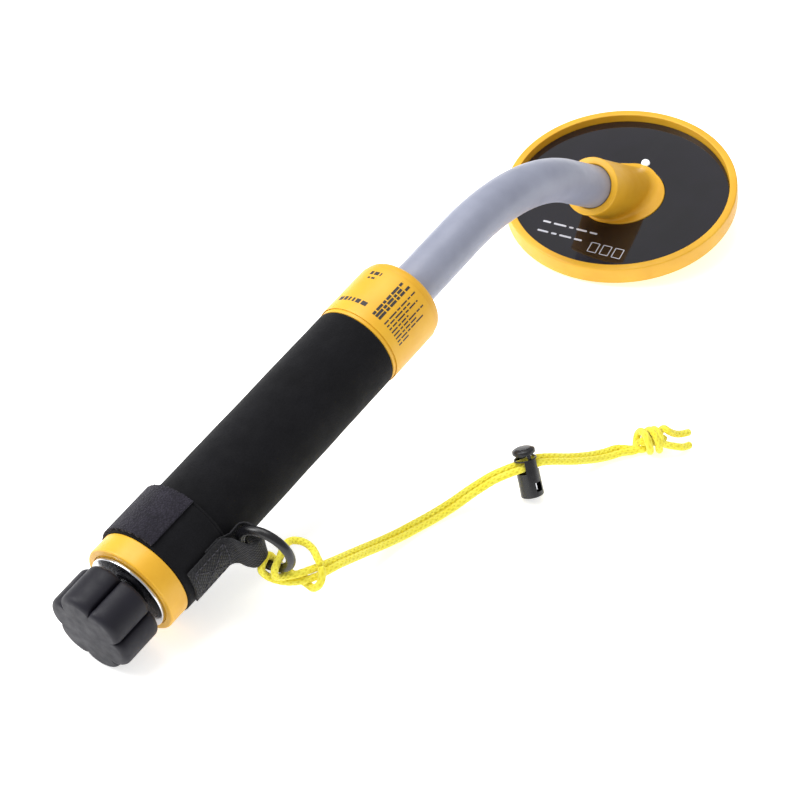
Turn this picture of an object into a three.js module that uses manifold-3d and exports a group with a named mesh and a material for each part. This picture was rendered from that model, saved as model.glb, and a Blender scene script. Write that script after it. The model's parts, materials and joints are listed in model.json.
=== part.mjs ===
// Hand-held underwater search coil with a bent shaft, a battery handle, a clamp plug and a wrist lanyard.
// Units are millimetres, +Z up. The object lies as it rests on a table: the coil's near edge and the clamp
// knob touch z = 0, the handle runs along X with the coil at +X, and the lanyard lies on its -Y side.
import * as THREE from 'three';
import { mergeVertices } from 'three/addons/utils/BufferGeometryUtils.js';
import Module from 'manifold-3d';

// ---- driving dimensions -----------------------------------------------------------------------------
const GAP = 0.3; // between touching pieces
const BORE_GAP = 0.4; // round a bolt in a bored hole

// handle, along its own axis s from the rear face of the end ring
const RING_LENGTH = 11;
const RING_R = 23.5;
const SLEEVE_LENGTH = 154;
const SLEEVE_R = 22;
const COLLAR_LENGTH = 39;
const COLLAR_R = 22;
const COLLAR_SHOULDER_R = 5;
const COLLAR_CAP = 10; // solid length past the handle tube's end
const SEAL_WIDTH = 2.6;
const LABEL_THICK = 0.25;
const HANDLE_TUBE_R = 20; // 40 mm pipe with a 2 mm wall
const HANDLE_TUBE_WALL = 2;

// bent shaft
const SHAFT_R = 11.4;
const SHAFT_WALL = 2;
const SHAFT_IN_COLLAR = 18;
const SHAFT_STRAIGHT = 46;
const SHAFT_BEND_R = 129;
const SHAFT_BEND_ANGLE = Math.PI / 4;
const SHAFT_LOWER = 28;
const SHAFT_IN_HUB = 21;
const CABLE_R = 2.5;
const CABLE_START = 168.5; // where it leaves the circuit board

// coil head
const COIL_R = 63;
const COIL_FOOT_R = 61.6;
const COIL_HEIGHT = 11.4;
const COIL_RIM_INNER_R = 58.8;
const COIL_FLOOR = 2;
const COIL_CAVITY_R = 57;
const WINDING_WIDTH = 6;
const PANEL_TOP = 7;
const PANEL_THICK = 2;
const BOSS_TOP = 7.4;
const BOSS_R = 23.8;
const HUB_R = 15.3;
const HUB_LENGTH = 38;
const CABLE_WAY_R = 3.6;
const LED_PLACE = [26.9, 0.9]; // in the coil's plane, from its centre
const LED_R = 2.4;

// clamp plug and knob, behind the end ring
const BOLT_R = 3;
const BOLT_REACH = 21.4; // half its plain length, from the ring's rear face to each side
const PLUG_R = 17.6;
const PLUG_LENGTH = 19;
const PLUG_GROOVE = [8, 11]; // from where to where along it
const WASHER_R = 19.8;
const WASHER_THICK = 1.6;
const KNOB_REAR = -28.5;
const KNOB_FRONT = -5.8;
const KNOB_LOBE_R = 21.6;
const KNOB_VALLEY_R = 17.8;
const KNOB_LOBES = 6;
const KNOB_EDGE = 2.6; // rounding of its rear and front edges
const KNOB_TURN = THREE.MathUtils.degToRad(14); // one lobe crest from straight down, towards -Y
const NECK_R = 9.6;
const INSERT_R = 4.9;

// battery and electronics inside the handle tube
const BATTERY_SIZE = [46.4, 26.2, 17.2];
const BATTERY_START = 33.5; // leaves the bolt its draw of 3 mm
const BOARD_SIZE = [75, 24, 1.6];
const BOARD_MIDDLE = 129;
const CARRIER_STARTS = [93.5, 161.5];
const CARRIER_THICK = 3;
const MOTOR_R = 3.5;

// strap with its webbing loop
const STRAP_START = RING_LENGTH + GAP;
const STRAP_WIDTH = 29.5;
const STRAP_BAND_R = 24;
const HOOK_END_THICK = 1.2;
const HOOK_END_ARC = [-125, 20]; // degrees about the handle from straight up, growing towards -Y
const LABEL_ARC = [-75, 150];
const WEBBING_WIDTH = 20;
const WEBBING_RISE = 0.5; // its middle, above the handle's axis

// tether ring, wrist lanyard and cord lock, in the row frame
const TETHER_RING_R = 14.2;
const TETHER_WIRE_R = 2.2;
const TETHER_CENTRE = new THREE.Vector3(-168.8, -41.4, 36.1);
const TETHER_NORMAL = new THREE.Vector3(-0.984, -0.033, -0.177).normalize();
const CORD_R = 1.8;
const HITCH_CENTRE = [-158.2, -48.1, 25.4];
const HITCH_RADII = [12, 7.4, 6.8];
const KNOT_CENTRE = [28, -118.9, 6.6];
const KNOT_RADII = [9.3, 9.3, 6.6];
const LOCK_R = 5.5;
const LOCK_BORE = 4.85;
const LOCK_TOP = 18.8;
const LOCK_CORD_Z = 15.2;
const LOCK_TRAVEL = 2.4;
const LOCK_TURN = THREE.MathUtils.degToRad(-23.6); // its cross slot looks along the lanyard
const LOCK_LEAN = THREE.MathUtils.degToRad(25); // it stands on the far edge of its foot
const LOCK_PLACE = [-35.4, -91, LOCK_R * Math.sin(LOCK_LEAN)];

// the middle between the two strands of the lanyard, from the hitch on the ring to the stopper knot
const LANYARD = [
  [-146.8, -55.8, 20.6], [-140.2, -56.2, 18.2], [-131.8, -56.1, 15], [-119.6, -56.2, 10.4],
  [-108, -56.9, 6.6], [-97, -58.2, 4], [-86, -59.9, 2.6], [-75.6, -62.2, 2.2], [-65.4, -65.8, 4.2],
  [-55.2, -70.7, 8.8], [-46.4, -76.6, 13.8], [-39.4, -82, 16.3], [-32.9, -85, 16.4],
  [-26.2, -88, 16.2], [-18.4, -91.6, 13.2], [-10, -95.4, 9.4], [-0.6, -99, 5.6], [8.4, -102.6, 3],
  [15.2, -106.4, 3], [20, -110.6, 4.6],
];
const TAIL_A = [[37.1, -123.1, 6.2], [41.9, -125, 4.8], [47.4, -127, 3.4]];
const TAIL_B = [[32.4, -128.6, 4.2], [36.4, -130.1, 3], [40.8, -131.6, 2.2]];

// ---- places worked out from those -------------------------------------------------------------------
const COLLAR_START = RING_LENGTH + SLEEVE_LENGTH;
const COLLAR_END = COLLAR_START + COLLAR_LENGTH;
const BEND_START = COLLAR_END + SHAFT_STRAIGHT;
const LOWER_RUN = SHAFT_LOWER + HUB_LENGTH;
const BEND_RUN = SHAFT_BEND_R * Math.sin(SHAFT_BEND_ANGLE);
const COIL_S = BEND_START + BEND_RUN + LOWER_RUN * Math.cos(SHAFT_BEND_ANGLE);
const BEND_DROP = SHAFT_BEND_R * (1 - Math.cos(SHAFT_BEND_ANGLE));
// of the handle's axis, above the coil's underside
const AXIS_HEIGHT = BEND_DROP + LOWER_RUN * Math.sin(SHAFT_BEND_ANGLE) + BOSS_TOP;
// the knob touches the table with the rear edge of its lowest lobe
const lobeDrop = (p) => p.x * Math.cos(KNOB_TURN) + p.y * Math.sin(KNOB_TURN);
const KNOB_REACH = Math.max(...knobOutline(0).map(lobeDrop));
const REST_RUN = COIL_S - COIL_FOOT_R - (KNOB_REAR + KNOB_EDGE);
const REST_TILT = Math.atan2(AXIS_HEIGHT - KNOB_REACH, REST_RUN);
const HANDLE_X = -214.13; // of the end ring's rear face; puts the origin under the middle of the object

// ---- materials --------------------------------------------------------------------------------------
function finish(color, roughness, metalness = 0) {
  return new THREE.MeshStandardMaterial({ color, roughness, metalness });
}
const YELLOW = finish(0xf0b428, 0.42);
const GREY_PVC = finish(0xa5a9bd, 0.45);
const PANEL_BLACK = finish(0x1c1b21, 0.08);
const NEOPRENE = finish(0x17171b, 0.95);
const HOOK_FABRIC = finish(0x34323c, 0.9);
const WEBBING = finish(0x1d1d22, 0.85);
const KNOB_RUBBER = finish(0x2d2b37, 0.6);
const BLACK_RUBBER = finish(0x141416, 0.8);
const BLACK_PLASTIC = finish(0x151518, 0.3);
const STEEL = finish(0xd8d8dc, 0.15, 1);
const BRASS = finish(0xb99a4a, 0.3, 1);
const COPPER = finish(0xb3663a, 0.35, 1);
const CORD_YELLOW = finish(0xf4e62a, 0.8);
const LENS_WHITE = finish(0xf4f6ff, 0.2);
const BOARD_GREEN = finish(0x1f5b34, 0.5);
const LABEL_YELLOW = finish(0xf2ba35, 0.5);
const FOAM = finish(0x4a4a4f, 1);
const RESIN = finish(0x20242c, 0.4);
const BATTERY = finish(0x3b3f46, 0.4);
const RED_WIRE = finish(0xb02020, 0.6);

// ---- geometry helpers -------------------------------------------------------------------------------
const wasm = await Module();
wasm.setup();

function toSolid(geometry) {
  const bare = geometry.clone();
  bare.deleteAttribute('normal');
  bare.deleteAttribute('uv');
  const merged = mergeVertices(bare, 1e-4);
  const mesh = new wasm.Mesh({
    numProp: 3,
    vertProperties: Float32Array.from(merged.attributes.position.array),
    triVerts: Uint32Array.from(merged.index.array),
  });
  return new wasm.Manifold(mesh);
}

function toGeometry(solid) {
  const mesh = solid.getMesh();
  const geometry = new THREE.BufferGeometry();
  geometry.setAttribute('position', new THREE.BufferAttribute(mesh.vertProperties, 3));
  geometry.setIndex(new THREE.BufferAttribute(mesh.triVerts, 1));
  geometry.computeVertexNormals();
  return geometry;
}

function subtract(base, ...cutters) {
  return toGeometry(cutters.reduce((left, cutter) => left.subtract(toSolid(cutter)), toSolid(base)));
}

// a profile of [radius, height] points turned about Z; a profile off the axis is closed on itself
function turned(profile, segments = 32) {
  const points = profile.map(([r, z]) => new THREE.Vector2(r, z));
  const onAxis = profile[0][0] === 0 && profile.at(-1)[0] === 0;
  if (!onAxis) points.push(points[0].clone());
  return new THREE.LatheGeometry(points, segments).rotateX(Math.PI / 2);
}

// turns geometry made along +Z so that it runs along +X, with its x axis pointing down
const alongX = (geometry) => geometry.rotateY(Math.PI / 2);

// a tube or disc along the handle's axis, from s0 to s1
function sleeve(s0, s1, outer, inner = 0, segments = 32) {
  const profile = [[inner, s0], [outer, s0], [outer, s1], [inner, s1]];
  return alongX(turned(profile, segments));
}

// an upright cylinder from z0 to z1
function upright(r, z0, z1, segments = 24) {
  const cylinder = new THREE.CylinderGeometry(r, r, z1 - z0, segments);
  return cylinder.rotateX(Math.PI / 2).translate(0, 0, (z0 + z1) / 2);
}

function box(x, y, z, at = [0, 0, 0]) {
  return new THREE.BoxGeometry(x, y, z).translate(...at);
}

// part of a band about the handle's axis: angles are from straight up, growing towards -Y
function bandArc(s0, s1, inner, outer, from, to) {
  const shape = new THREE.Shape();
  const a0 = THREE.MathUtils.degToRad(90 + from);
  const a1 = THREE.MathUtils.degToRad(90 + to);
  shape.absarc(0, 0, outer, a0, a1, false);
  shape.absarc(0, 0, inner, a1, a0, true);
  const options = { depth: s1 - s0, bevelEnabled: false, curveSegments: 14 };
  const geometry = new THREE.ExtrudeGeometry(shape, options).translate(0, 0, s0);
  // the section's x becomes +Y and its y becomes +Z, as the extrusion turns to run along +X
  const turn = new THREE.Matrix4().makeBasis(
    new THREE.Vector3(0, 1, 0), new THREE.Vector3(0, 0, 1), new THREE.Vector3(1, 0, 0));
  return geometry.applyMatrix4(turn);
}

// a round bar or tube along a curve
function swept(curve, radius, steps, sides, hollow = 0) {
  const ring = (r, count) => Array.from({ length: count }, (_, i) => {
    const angle = (2 * Math.PI * i) / count;
    return new THREE.Vector2(r * Math.cos(angle), r * Math.sin(angle));
  });
  const shape = new THREE.Shape(ring(radius, sides));
  if (hollow > 0) shape.holes.push(new THREE.Path(ring(hollow, sides * 0.6)));
  return new THREE.ExtrudeGeometry(shape, { steps, extrudePath: curve, bevelEnabled: false });
}

function route(points) {
  const places = points.map((p) => new THREE.Vector3(...p));
  return new THREE.CatmullRomCurve3(places, false, 'centripetal');
}

function add(group, name, geometry, material, place = [0, 0, 0]) {
  const mesh = new THREE.Mesh(geometry, material);
  mesh.name = name;
  mesh.position.set(...place);
  group.add(mesh);
  return mesh;
}

// ---- the shaft's centre line, from inside the collar to inside the hub ------------------------------
class ShaftLine extends THREE.Curve {
  constructor(start, end) {
    super();
    this.start = start; // distance before the bend
    this.end = end; // distance past the bend
  }

  getPoint(t, target = new THREE.Vector3()) {
    const arc = SHAFT_BEND_R * SHAFT_BEND_ANGLE;
    const along = t * (this.start + arc + this.end) - this.start;
    if (along <= 0) return target.set(BEND_START + along, 0, 0);
    const angle = Math.min(along / SHAFT_BEND_R, SHAFT_BEND_ANGLE);
    const past = Math.max(along - arc, 0);
    return target.set(
      BEND_START + SHAFT_BEND_R * Math.sin(angle) + past * Math.cos(angle),
      0,
      -SHAFT_BEND_R * (1 - Math.cos(angle)) - past * Math.sin(angle));
  }
}

// ---- coil head --------------------------------------------------------------------------------------
function addCoilHead(parent) {
  const head = new THREE.Group();
  head.position.set(COIL_S, 0, -AXIS_HEIGHT);
  parent.add(head);

  const ledge = PANEL_TOP - PANEL_THICK - GAP;
  const lip = 0.5;
  add(head, 'coil_housing', turned([
    [0, 0], [COIL_FOOT_R, 0], [COIL_R, 1.4], [COIL_R, COIL_HEIGHT - 0.9], [COIL_R - 0.9, COIL_HEIGHT],
    [COIL_RIM_INNER_R + lip, COIL_HEIGHT], [COIL_RIM_INNER_R, COIL_HEIGHT - lip], [COIL_RIM_INNER_R, ledge],
    [COIL_CAVITY_R, ledge], [COIL_CAVITY_R, COIL_FLOOR], [0, COIL_FLOOR],
  ], 48), YELLOW);

  const inside = COIL_FLOOR + GAP;
  const windingOuter = COIL_CAVITY_R - 0.4;
  const windingInner = windingOuter - WINDING_WIDTH;
  add(head, 'coil_winding', turned([
    [windingInner, inside], [windingOuter, inside], [windingOuter, ledge], [windingInner, ledge],
  ], 40), COPPER);

  // the potting has a channel for the leads and a pocket for the light
  const pottingR = windingInner - 0.4;
  const leadChannel = box(40, 3.4, 10, [-30, 0, inside + 5.8]);
  const ledPocket = upright(3.4, 0, 10, 16).translate(...LED_PLACE, 0);
  const potting = turned([[6, inside], [pottingR, inside], [pottingR, ledge], [6, ledge]], 36);
  add(head, 'coil_potting', subtract(potting, leadChannel, ledPocket), RESIN);
  add(head, 'coil_leads', box(39, 2.6, 1, [-30, 0, inside + 1.6]), COPPER);

  const panelBottom = PANEL_TOP - PANEL_THICK;
  const panelInner = BOSS_R + GAP;
  const panelOuter = COIL_RIM_INNER_R - GAP;
  const lensHole = upright(LED_R + GAP, 0, 20, 16).translate(...LED_PLACE, 0);
  const panel = turned([
    [panelInner, panelBottom], [panelOuter, panelBottom], [panelOuter, PANEL_TOP], [panelInner, PANEL_TOP],
  ], 48);
  add(head, 'coil_panel', subtract(panel, lensHole), PANEL_BLACK);
  const lens = turned([
    [0, panelBottom], [LED_R, panelBottom], [LED_R, PANEL_TOP + 0.2], [LED_R - 0.3, PANEL_TOP + 1],
    [LED_R - 1, PANEL_TOP + 1.7], [0, PANEL_TOP + 2],
  ], 16);
  add(head, 'led_lens', lens, LENS_WHITE, [...LED_PLACE, 0]);
  add(head, 'status_led', upright(LED_R + 0.2, inside, ledge, 16), LENS_WHITE, [...LED_PLACE, 0]);

  // the boss with its socket, which leans back along the shaft's lower run
  const lean = new THREE.Matrix4().makeRotationY(SHAFT_BEND_ANGLE - Math.PI / 2);
  const leaned = (geometry) => geometry.applyMatrix4(lean).translate(0, 0, BOSS_TOP);
  const socket = toSolid(leaned(upright(HUB_R, -20, HUB_LENGTH, 32)));
  const above = toSolid(upright(60, panelBottom, 80, 8));
  const boss = toSolid(turned([
    [0, panelBottom], [BOSS_R, panelBottom], [BOSS_R, BOSS_TOP - 0.4], [BOSS_R - 0.4, BOSS_TOP],
    [0, BOSS_TOP],
  ], 36));
  const boreStart = HUB_LENGTH - SHAFT_IN_HUB;
  const bore = toSolid(leaned(upright(SHAFT_R + GAP, boreStart - GAP, HUB_LENGTH + 1, 28)));
  const cableWay = toSolid(leaned(upright(CABLE_WAY_R, -14, boreStart, 14)));
  const hub = socket.intersect(above).add(boss).subtract(bore).subtract(cableWay);
  add(head, 'hub_socket', toGeometry(hub), YELLOW);
}

// ---- shaft and its cable ----------------------------------------------------------------------------
function addShaft(parent) {
  const line = new ShaftLine(SHAFT_STRAIGHT + SHAFT_IN_COLLAR, SHAFT_LOWER + SHAFT_IN_HUB);
  add(parent, 'shaft_tube', swept(line, SHAFT_R, 20, 20, SHAFT_R - SHAFT_WALL - 0.2), GREY_PVC);
  const cableLine = new ShaftLine(BEND_START - CABLE_START, LOWER_RUN + 1.2);
  add(parent, 'coil_cable', swept(cableLine, CABLE_R, 32, 8), BLACK_RUBBER);
  const glandStart = BEND_START - SHAFT_STRAIGHT - SHAFT_IN_COLLAR + 1;
  const glandR = SHAFT_R - SHAFT_WALL - 3 * GAP;
  add(parent, 'cable_gland', sleeve(glandStart, glandStart + 12, glandR, CABLE_R + 2 * GAP, 16), RESIN);
}

// ---- handle -----------------------------------------------------------------------------------------
function addHandle(parent) {
  const tubeEnd = COLLAR_END - COLLAR_CAP;
  const seat = HANDLE_TUBE_R + GAP;
  const tubeBore = HANDLE_TUBE_R - HANDLE_TUBE_WALL;
  add(parent, 'handle_tube', sleeve(0, tubeEnd, HANDLE_TUBE_R, tubeBore, 36), YELLOW);
  add(parent, 'neoprene_sleeve', sleeve(RING_LENGTH + GAP, COLLAR_START - GAP, SLEEVE_R, seat, 36), NEOPRENE);
  add(parent, 'rear_ring', alongX(turned([
    [seat, 0], [RING_R - 1, 0], [RING_R, 1], [RING_R, RING_LENGTH - 0.6], [RING_R - 0.6, RING_LENGTH],
    [seat, RING_LENGTH],
  ], 36)), YELLOW);

  // the collar is a cap over the tube's end, with a rounded shoulder and a bore and a seal for the shaft
  const bore = SHAFT_R + GAP;
  const groove = COLLAR_END - 5;
  const shoulder = Array.from({ length: 4 }, (_, i) => {
    const angle = (Math.PI / 2) * (i / 3);
    const across = COLLAR_R - COLLAR_SHOULDER_R + COLLAR_SHOULDER_R * Math.cos(angle);
    return [across, COLLAR_END - COLLAR_SHOULDER_R + COLLAR_SHOULDER_R * Math.sin(angle)];
  });
  add(parent, 'front_collar', alongX(turned([
    [seat, COLLAR_START], [COLLAR_R, COLLAR_START], ...shoulder, [bore, COLLAR_END],
    [bore, groove + SEAL_WIDTH], [bore + 2, groove + SEAL_WIDTH], [bore + 2, groove], [bore, groove],
    [bore, tubeEnd + GAP], [seat, tubeEnd + GAP],
  ], 36)), YELLOW);
  const sealEnd = groove + SEAL_WIDTH - GAP;
  add(parent, 'shaft_seal', sleeve(groove + GAP, sealEnd, bore + 2 - GAP, SHAFT_R + GAP, 20), BLACK_RUBBER);
  const labelR = COLLAR_R + GAP;
  const label = bandArc(COLLAR_START + 2, COLLAR_END - 6, labelR, labelR + LABEL_THICK, ...LABEL_ARC);
  add(parent, 'collar_label', label, LABEL_YELLOW);
}

// ---- clamp plug: a rubber bung squeezed between two washers by a bolt and a knob --------------------
function knobOutline(inset) {
  const count = 48;
  return Array.from({ length: count }, (_, i) => {
    const angle = (2 * Math.PI * i) / count;
    const wave = Math.abs(Math.cos((KNOB_LOBES * angle) / 2));
    const r = KNOB_VALLEY_R + (KNOB_LOBE_R - KNOB_VALLEY_R) * Math.sqrt(wave) - inset;
    return new THREE.Vector2(r * Math.cos(angle), r * Math.sin(angle));
  });
}

function addPlug(parent) {
  const clear = BOLT_R + BORE_GAP;
  const [grooveStart, grooveEnd] = PLUG_GROOVE;
  const grooveR = PLUG_R - 0.8;
  add(parent, 'rubber_plug', alongX(turned([
    [clear, GAP], [PLUG_R, GAP], [PLUG_R, grooveStart], [grooveR, grooveStart + 0.6],
    [grooveR, grooveEnd - 0.6], [PLUG_R, grooveEnd], [PLUG_R, PLUG_LENGTH], [clear, PLUG_LENGTH],
  ], 28)), BLACK_RUBBER);
  const washerRear = -GAP - WASHER_THICK;
  add(parent, 'outer_washer', alongX(turned([
    [clear, washerRear], [WASHER_R - 0.4, washerRear], [WASHER_R, washerRear + 0.4],
    [WASHER_R, -GAP], [clear, -GAP],
  ], 36)), STEEL);
  const innerStart = PLUG_LENGTH + GAP;
  add(parent, 'inner_washer', sleeve(innerStart, innerStart + 1.8, 16.5, clear, 24), STEEL);
  add(parent, 'thrust_washer', sleeve(washerRear - 1.3, washerRear - GAP, 7.4, clear, 20), BLACK_PLASTIC);
  const headR = 6.4;
  add(parent, 'draw_bolt', alongX(turned([
    [0, -22], [BOLT_R - 0.6, -22], [BOLT_R, -BOLT_REACH], [BOLT_R, BOLT_REACH], [headR, BOLT_REACH],
    [headR, BOLT_REACH + 3.2], [headR - 1, BOLT_REACH + 4.2], [0, BOLT_REACH + 4.2],
  ], 16)), STEEL);

  const body = new THREE.ExtrudeGeometry(new THREE.Shape(knobOutline(KNOB_EDGE)), {
    depth: KNOB_FRONT - KNOB_REAR - 2 * KNOB_EDGE,
    bevelEnabled: true,
    bevelThickness: KNOB_EDGE,
    bevelSize: KNOB_EDGE,
    bevelSegments: 2,
  }).translate(0, 0, KNOB_REAR + KNOB_EDGE);
  const neckEnd = -3.5;
  const neck = turned([
    [0, KNOB_FRONT - 3], [NECK_R, KNOB_FRONT - 3], [NECK_R, neckEnd - 0.6], [NECK_R - 0.6, neckEnd],
    [0, neckEnd],
  ], 24);
  const insertHole = upright(INSERT_R + GAP, -16 - GAP, 0, 20);
  const boltHole = upright(BOLT_R + GAP, -23, 0, 16);
  const whole = toSolid(body).add(toSolid(neck));
  const knob = whole.subtract(toSolid(insertHole)).subtract(toSolid(boltHole));
  // the outline's first crest points down once the knob's axis lies along X; it turns from there towards -Y
  const turn = new THREE.Matrix4().makeRotationX(-KNOB_TURN);
  add(parent, 'clamp_knob', alongX(toGeometry(knob)).applyMatrix4(turn), KNOB_RUBBER);
  add(parent, 'knob_insert', sleeve(-16, neckEnd - GAP, INSERT_R, BOLT_R + GAP, 16), BRASS);
}

// ---- battery and electronics, inside the handle tube ------------------------------------------------
function addElectronics(parent) {
  add(parent, 'foam_pad', sleeve(29.4, BATTERY_START - 0.4, 15, 0, 20), FOAM);
  const batteryEnd = BATTERY_START + BATTERY_SIZE[0];
  add(parent, 'battery_case', box(...BATTERY_SIZE, [(BATTERY_START + batteryEnd) / 2, 0, 0]), BATTERY);
  const terminalY = 6.35;
  const terminal = (r, sides) => sleeve(batteryEnd + GAP, batteryEnd + GAP + 2.4, r, 0, sides);
  add(parent, 'battery_plus', terminal(2.9, 16), STEEL, [0, terminalY, 0]);
  add(parent, 'battery_minus', terminal(4, 6), STEEL, [0, -terminalY, 0]);
  add(parent, 'battery_snap', box(3, 25, 12, [84.5, 0, 0]), BLACK_RUBBER);
  const lead = (side) => swept(route([
    [86.7, 5 * side, 1.2], [89, 6.2 * side, 2.6], [92.5, 6.5 * side, 3.2], [97.1, 6 * side, 2.4],
  ]), 0.8, 5, 8);
  add(parent, 'battery_lead_red', lead(1), RED_WIRE);
  add(parent, 'battery_lead_black', lead(-1), BLACK_RUBBER);

  // the board lies in the slots of two round carriers
  const carrier = (start) => {
    const slot = box(20, BOARD_SIZE[1] + 2 * GAP, BOARD_SIZE[2] + 2 * GAP, [start, 0, 0]);
    const wireWay = box(20, 16, 6, [start, 0, 2.4]);
    return subtract(sleeve(start, start + CARRIER_THICK, PLUG_R, 0, 24), slot, wireWay);
  };
  const [rearStart, frontStart] = CARRIER_STARTS;
  const cableHole = sleeve(frontStart - 8, frontStart + 12, CABLE_R + 0.9, 0, 12).translate(0, 0, -1);
  add(parent, 'board_carrier_rear', carrier(rearStart), BLACK_PLASTIC);
  add(parent, 'board_carrier_front', subtract(carrier(frontStart), cableHole), BLACK_PLASTIC);
  add(parent, 'circuit_board', box(...BOARD_SIZE, [BOARD_MIDDLE, 0, 0]), BOARD_GREEN);

  const boardTop = BOARD_SIZE[2] / 2 + GAP;
  add(parent, 'control_chip', box(10, 7.6, 2.4, [115.5, 0, boardTop + 1.2]), BLACK_PLASTIC);
  add(parent, 'pulse_transistor', box(15, 10, 4.4, [148.5, 4, boardTop + 2.2]), BLACK_PLASTIC);
  const capacitorR = 3.2;
  [-6.5, 4].forEach((y, i) => {
    const can = sleeve(125.5, 137.5, capacitorR, 0, 18);
    add(parent, `capacitor_${i + 1}`, can, BATTERY, [0, y, boardTop + capacitorR]);
  });
  add(parent, 'piezo_buzzer', upright(8.5, -boardTop - 5, -boardTop, 20), BLACK_PLASTIC, [145.5, 0, 0]);
  const motorZ = -boardTop - MOTOR_R;
  add(parent, 'vibration_motor', sleeve(107.5, 121.5, MOTOR_R, 0, 20), STEEL, [0, 0, motorZ]);
  // the eccentric weight is a half disc on the motor's shaft
  const half = new THREE.Shape();
  half.absarc(0, 0, MOTOR_R - 0.2, 0, Math.PI, false);
  const weight = new THREE.ExtrudeGeometry(half, { depth: 4, bevelEnabled: false, curveSegments: 12 });
  add(parent, 'motor_weight', alongX(weight), BRASS, [122.1, 0, motorZ]);
}

// ---- strap ------------------------------------------------------------------------------------------
function addStrap(parent) {
  const end = STRAP_START + STRAP_WIDTH;
  add(parent, 'strap_band', sleeve(STRAP_START, end, STRAP_BAND_R, SLEEVE_R + GAP, 36), NEOPRENE);
  const hookR = STRAP_BAND_R + GAP;
  const hookEnd = bandArc(STRAP_START + 0.4, end - 0.2, hookR, hookR + HOOK_END_THICK, ...HOOK_END_ARC);
  add(parent, 'strap_hook_end', hookEnd, HOOK_FABRIC);

  // the webbing is sewn flat to the band's side and folded round the ring's inner arc
  const sewn = -STRAP_BAND_R - GAP;
  const outline = [
    [14, sewn], [end + 0.4, sewn], [end + 0.8, -22.6], [50.6, -22.6], [52.4, -25.8], [52.2, -34],
    [50.4, -38.4], [41.6, -38.4], [39.8, -33], [39.8, sewn - 1.6], [14, sewn - 1.6],
  ];
  const channel = [
    [42.2, -24], [49.8, -24], [51, -26.4], [50.8, -33.5], [49.6, -37], [42.6, -37], [41.2, -33],
    [41.6, -27.4],
  ];
  const toVector = ([s, y]) => new THREE.Vector2(s, y);
  const shape = new THREE.Shape(outline.map(toVector));
  shape.holes.push(new THREE.Path(channel.map(toVector).reverse()));
  const webbing = new THREE.ExtrudeGeometry(shape, { depth: WEBBING_WIDTH, bevelEnabled: false });
  add(parent, 'webbing_loop', webbing.translate(0, 0, WEBBING_RISE - WEBBING_WIDTH / 2), WEBBING);
}

// ---- tether ring, lanyard and cord lock -------------------------------------------------------------
function tetherRing(wire) {
  const turn = new THREE.Quaternion().setFromUnitVectors(new THREE.Vector3(0, 0, 1), TETHER_NORMAL);
  const ring = new THREE.TorusGeometry(TETHER_RING_R, wire, 8, 28);
  return ring.applyQuaternion(turn).translate(...TETHER_CENTRE.toArray());
}

// the two strands lie side by side, on either side of the lanyard's middle
function strandRoute(side) {
  const middle = route(LANYARD);
  const count = 24;
  const points = Array.from({ length: count + 1 }, (_, i) => {
    const { x, y, z } = middle.getPoint(i / count);
    const { x: dx, y: dy } = middle.getTangent(i / count);
    const offset = (side * (CORD_R + GAP / 2)) / Math.hypot(dx, dy);
    return [x - dy * offset, y + dx * offset, z];
  });
  return route(points);
}

function addLanyard(parent) {
  add(parent, 'tether_ring', tetherRing(TETHER_WIRE_R), BLACK_PLASTIC);
  const hitch = new THREE.SphereGeometry(1, 14, 8).scale(...HITCH_RADII);
  hitch.rotateY(0.42).rotateZ(-0.45).translate(...HITCH_CENTRE);
  add(parent, 'lanyard_hitch', subtract(hitch, tetherRing(TETHER_WIRE_R + GAP)), CORD_YELLOW);
  add(parent, 'lanyard_strand_a', swept(strandRoute(1), CORD_R, 32, 8), CORD_YELLOW);
  add(parent, 'lanyard_strand_b', swept(strandRoute(-1), CORD_R, 32, 8), CORD_YELLOW);
  const knot = new THREE.SphereGeometry(1, 12, 8).rotateX(Math.PI / 2).scale(...KNOT_RADII);
  add(parent, 'stopper_knot', knot.translate(...KNOT_CENTRE), CORD_YELLOW);
  add(parent, 'lanyard_tail_a', swept(route(TAIL_A), CORD_R, 4, 8), CORD_YELLOW);
  add(parent, 'lanyard_tail_b', swept(route(TAIL_B), CORD_R, 4, 8), CORD_YELLOW);
}

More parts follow.
